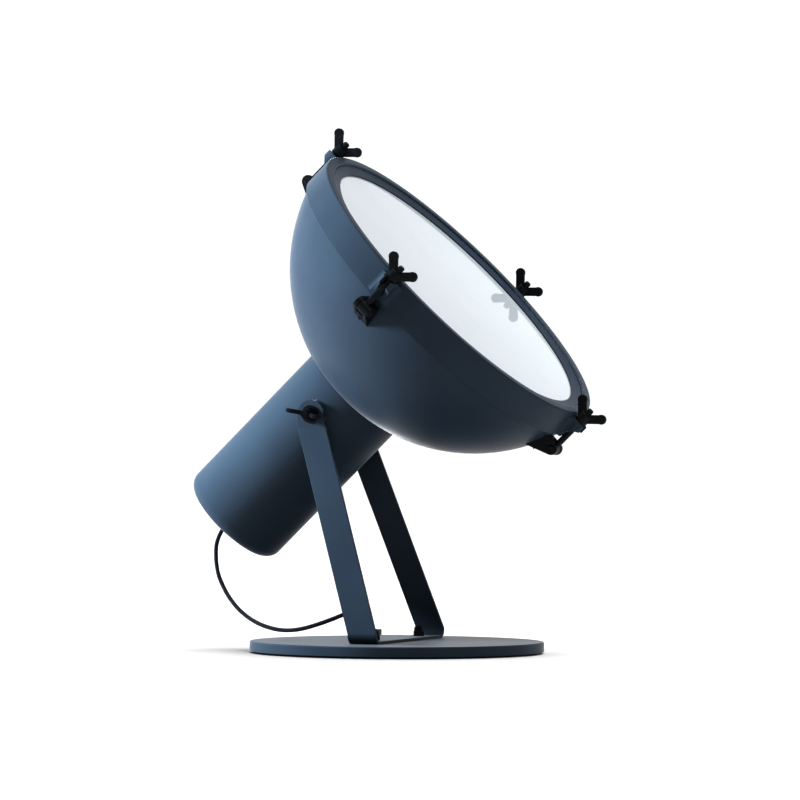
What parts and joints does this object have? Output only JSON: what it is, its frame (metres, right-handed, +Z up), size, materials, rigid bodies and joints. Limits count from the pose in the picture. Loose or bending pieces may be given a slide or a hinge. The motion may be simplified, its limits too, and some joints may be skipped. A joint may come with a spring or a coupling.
{
  "type": "projector floor lamp",
  "caption": "Projector-style floor lamp: round spun head with a wing-nut-clamped front glass, tilting in a bent-bar yoke on a round base plate, with its mains lead.",
  "frame": {"origin": "centre of the base's underside, on the floor", "axes": "+Z up, +X the way the lamp aims as seen from above, +Y along the tilt axis to the far arm"},
  "size_m": [0.4421, 0.4625, 0.5364],
  "materials": {
    "paint": "matt blue-grey paint",
    "black_metal": "satin black",
    "steel": "plain",
    "rubber": "matt",
    "black_plastic": "matt",
    "cord_cover": "matt",
    "white_plastic": "satin",
    "glass": "clear front, frosted back",
    "brass": "plain"
  },
  "bodies": {
    "stand": {"base_disc": "paint", "base_pad": "rubber", "yoke": "paint", "foot_bolts": "black_metal", "foot_nuts": "black_metal", "tilt_washers": "black_metal", "cord_clip": "black_plastic", "clip_screw": "steel", "cord_link": "cord_cover", "cord_tail": "cord_cover", "cord_coil": "cord_cover", "coil_tie": "black_plastic", "plug_lead": "cord_cover", "mains_plug": "black_plastic", "plug_pins": "brass"},
    "head": {"rear_housing": "paint", "bowl": "paint", "neck_ring": "steel", "neck_screws": "steel", "front_ring": "paint", "glass_bezel": "paint", "glass_gasket": "rubber", "front_glass": "glass", "glass_retainer": "steel", "rim_gasket": "rubber", "clevis_top": "black_metal", "clevis_near": "black_metal", "clevis_bottom": "black_metal", "clevis_far": "black_metal", "clevis_pins": "black_metal", "clevis_rivets": "black_metal", "pivot_studs": "black_metal", "friction_washers": "black_plastic", "cord_gland": "rubber", "gland_nut": "black_plastic", "holder_plate": "steel", "plate_screws": "steel", "lamp_holder": "white_plastic", "terminal_block": "white_plastic", "inner_lead": "cord_cover", "bulb": "glass"},
    "swing_bolt_top": {"swing_bolt_top": "black_metal"},
    "swing_bolt_near": {"swing_bolt_near": "black_metal"},
    "swing_bolt_bottom": {"swing_bolt_bottom": "black_metal"},
    "swing_bolt_far": {"swing_bolt_far": "black_metal"},
    "wing_nut_top": {"wing_nut_top": "black_metal"},
    "wing_nut_near": {"wing_nut_near": "black_metal"},
    "wing_nut_bottom": {"wing_nut_bottom": "black_metal"},
    "wing_nut_far": {"wing_nut_far": "black_metal"},
    "tilt_nut_near": {"tilt_nut_near": "black_metal"},
    "tilt_nut_far": {"tilt_nut_far": "black_metal"}
  },
  "joints": [
    {"name": "head_tilt", "type": "hinge", "parent": "stand", "child": "head", "pos_m": [-0.071, 0, 0.2425], "axis": [0, 1, 0], "range_deg": [-56, 35], "deforming": ["cord_link"]},
    {"name": "bolt_swing_top", "type": "hinge", "parent": "head", "child": "swing_bolt_top", "pos_m": [-0.09652, 0, 0.48198], "axis": [0, -1, 0], "range_deg": [0, 95]},
    {"name": "bolt_swing_near", "type": "hinge", "parent": "head", "child": "swing_bolt_near", "pos_m": [0.03546, -0.19, 0.34531], "axis": [0.6947, 0, -0.7193], "range_deg": [0, 95]},
    {"name": "bolt_swing_bottom", "type": "hinge", "parent": "head", "child": "swing_bolt_bottom", "pos_m": [0.16745, 0, 0.20863], "axis": [0, 1, 0], "range_deg": [0, 95]},
    {"name": "bolt_swing_far", "type": "hinge", "parent": "head", "child": "swing_bolt_far", "pos_m": [0.03546, 0.19, 0.34531], "axis": [-0.6947, 0, 0.7193], "range_deg": [0, 95]},
    {"name": "nut_turn_top", "type": "hinge", "parent": "swing_bolt_top", "child": "wing_nut_top", "pos_m": [-0.06487, 0, 0.51255], "axis": [0.7193, 0, 0.6947], "continuous": true},
    {"name": "nut_turn_near", "type": "hinge", "parent": "swing_bolt_near", "child": "wing_nut_near", "pos_m": [0.06711, -0.19, 0.37587], "axis": [0.7193, 0, 0.6947], "continuous": true},
    {"name": "nut_turn_bottom", "type": "hinge", "parent": "swing_bolt_bottom", "child": "wing_nut_bottom", "pos_m": [0.1991, 0, 0.2392], "axis": [0.7193, 0, 0.6947], "continuous": true},
    {"name": "nut_turn_far", "type": "hinge", "parent": "swing_bolt_far", "child": "wing_nut_far", "pos_m": [0.06711, 0.19, 0.37587], "axis": [0.7193, 0, 0.6947], "continuous": true},
    {"name": "tilt_nut_turn_near", "type": "hinge", "parent": "head", "child": "tilt_nut_near", "pos_m": [-0.071, -0.07, 0.2425], "axis": [0, -1, 0], "continuous": true},
    {"name": "tilt_nut_turn_far", "type": "hinge", "parent": "head", "child": "tilt_nut_far", "pos_m": [-0.071, 0.07, 0.2425], "axis": [0, 1, 0], "continuous": true}
  ]
}
